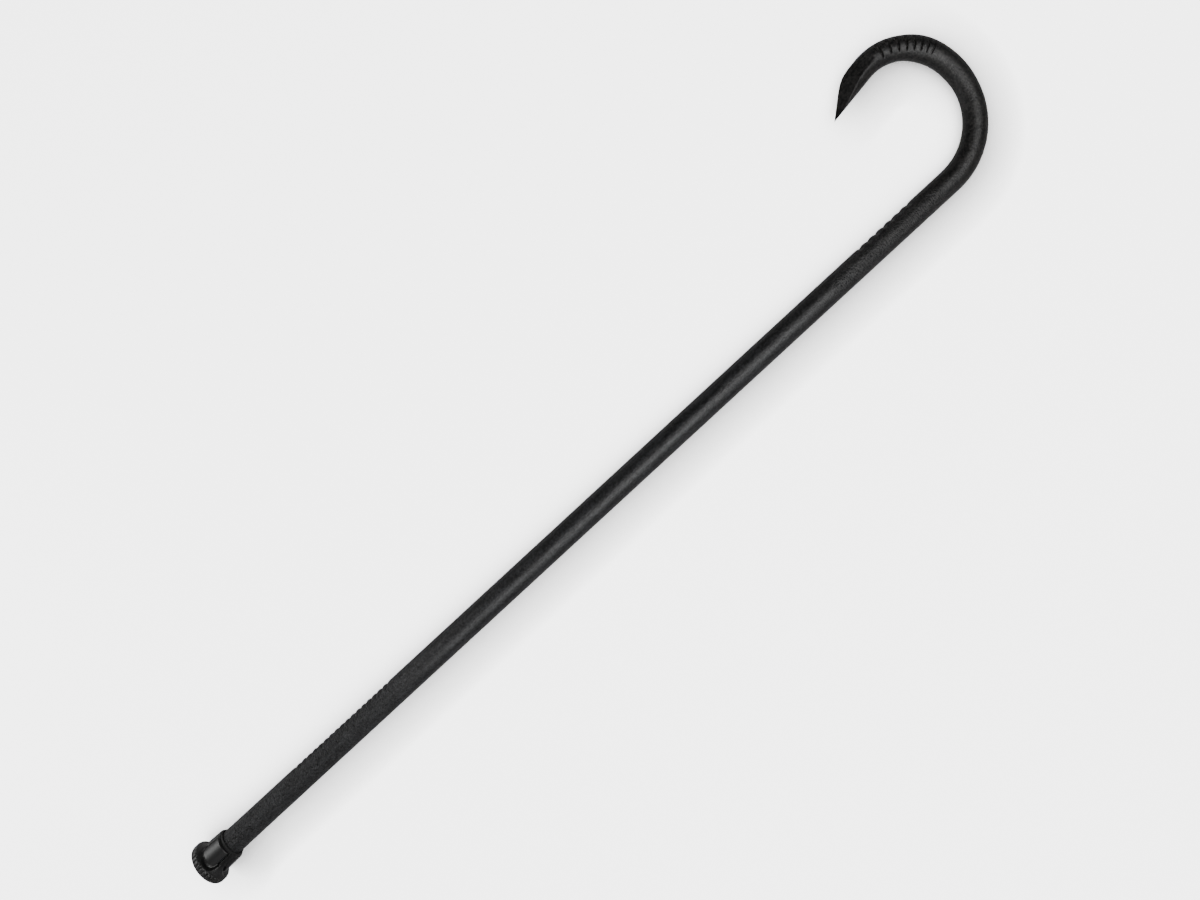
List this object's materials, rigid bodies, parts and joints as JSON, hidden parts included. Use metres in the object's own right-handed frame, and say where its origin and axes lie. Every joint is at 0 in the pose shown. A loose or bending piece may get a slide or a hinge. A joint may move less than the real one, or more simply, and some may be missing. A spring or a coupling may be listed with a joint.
{
  "type": "walking cane",
  "caption": "Moulded walking cane with a crook handle cut to a pointed beak, scalloped grip rows on the shaft and a rubber ferrule that pulls off.",
  "frame": {"origin": "middle of the ferrule's tread, on the shaft's axis", "axes": "+X up the shaft from the foot to the handle, +Y towards the side that the crook curls to, +Z square to the plane of the crook; the cane lies on its side as in the picture"},
  "size_m": [0.9653, 0.1542, 0.0384],
  "materials": {
    "polymer": "black moulded polymer, pebbled near the foot and below the crook, satin elsewhere",
    "rubber": "black rubber with a soft gloss on its raised pads",
    "steel": "drawn mild steel"
  },
  "bodies": {
    "cane": {"cane_body": "polymer", "core_rod": "steel"},
    "foot": {"ferrule": "rubber", "ferrule_washer": "steel"}
  },
  "joints": [
    {"name": "ferrule_pull", "type": "slide", "parent": "cane", "child": "foot", "axis": [-1, 0, 0], "range_m": [0, 0.03]}
  ]
}
